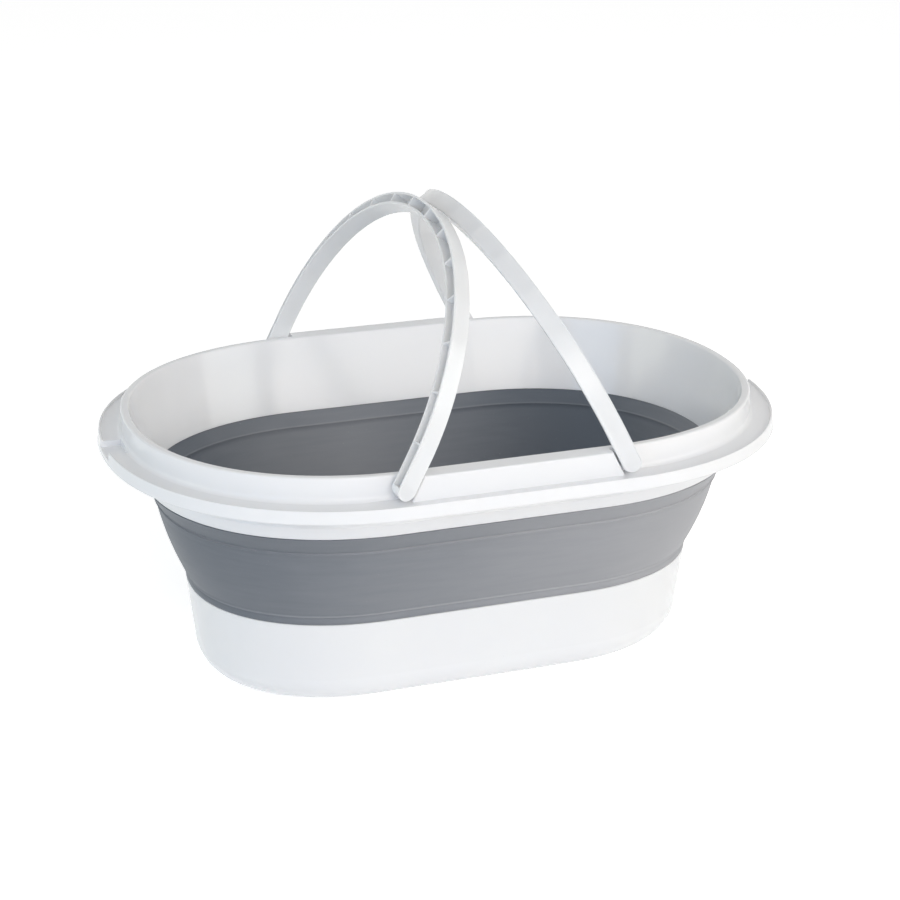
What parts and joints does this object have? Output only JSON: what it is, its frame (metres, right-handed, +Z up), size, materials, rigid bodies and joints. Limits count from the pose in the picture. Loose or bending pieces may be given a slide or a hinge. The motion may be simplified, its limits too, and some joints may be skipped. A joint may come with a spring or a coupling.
{
  "type": "collapsible bucket",
  "caption": "Oval collapsible bucket: a flanged rim and a rounded tub joined by a folding rubber sleeve, with arched handles that fold down onto the rim.",
  "frame": {"origin": "on the floor under the middle of the bucket, which stands open with its handles up", "axes": "+X along the length, +Y from the front long side to the back one, +Z up"},
  "size_m": [0.45, 0.326, 0.3084],
  "materials": {
    "rim_plastic": "glossy white moulded plastic",
    "handle_plastic": "satin white moulded plastic",
    "tub_plastic": "glossy white moulded plastic",
    "sleeve_rubber": "satin grey soft rubber"
  },
  "bodies": {
    "base": {"base_tub": "tub_plastic", "sleeve_lower_band": "sleeve_rubber"},
    "fold": {"sleeve_fold_panel": "sleeve_rubber"},
    "rim": {"rim_frame": "rim_plastic", "sleeve_upper_band": "sleeve_rubber"},
    "left_grip": {"left_handle": "handle_plastic"},
    "right_grip": {"right_handle": "handle_plastic"}
  },
  "joints": [
    {"name": "collapse", "type": "slide", "parent": "base", "child": "rim", "axis": [0, 0, -1], "range_m": [0, 0.1068], "deforming": ["sleeve_fold_panel"]},
    {"name": "fold", "type": "slide", "parent": "base", "child": "fold", "axis": [0, 0, -1], "range_m": [0, 0.0534]},
    {"name": "left_handle_swing", "type": "hinge", "parent": "rim", "child": "left_grip", "pos_m": [-0.0724, 0, 0.17218], "axis": [0, -1, 0], "range_deg": [0, 116.85]},
    {"name": "right_handle_swing", "type": "hinge", "parent": "rim", "child": "right_grip", "pos_m": [0.0724, 0, 0.17218], "axis": [0, 1, 0], "range_deg": [0, 116.85]}
  ],
  "couplings": [
    {"joint": "fold", "follows": "collapse", "ratio": 0.5}
  ]
}
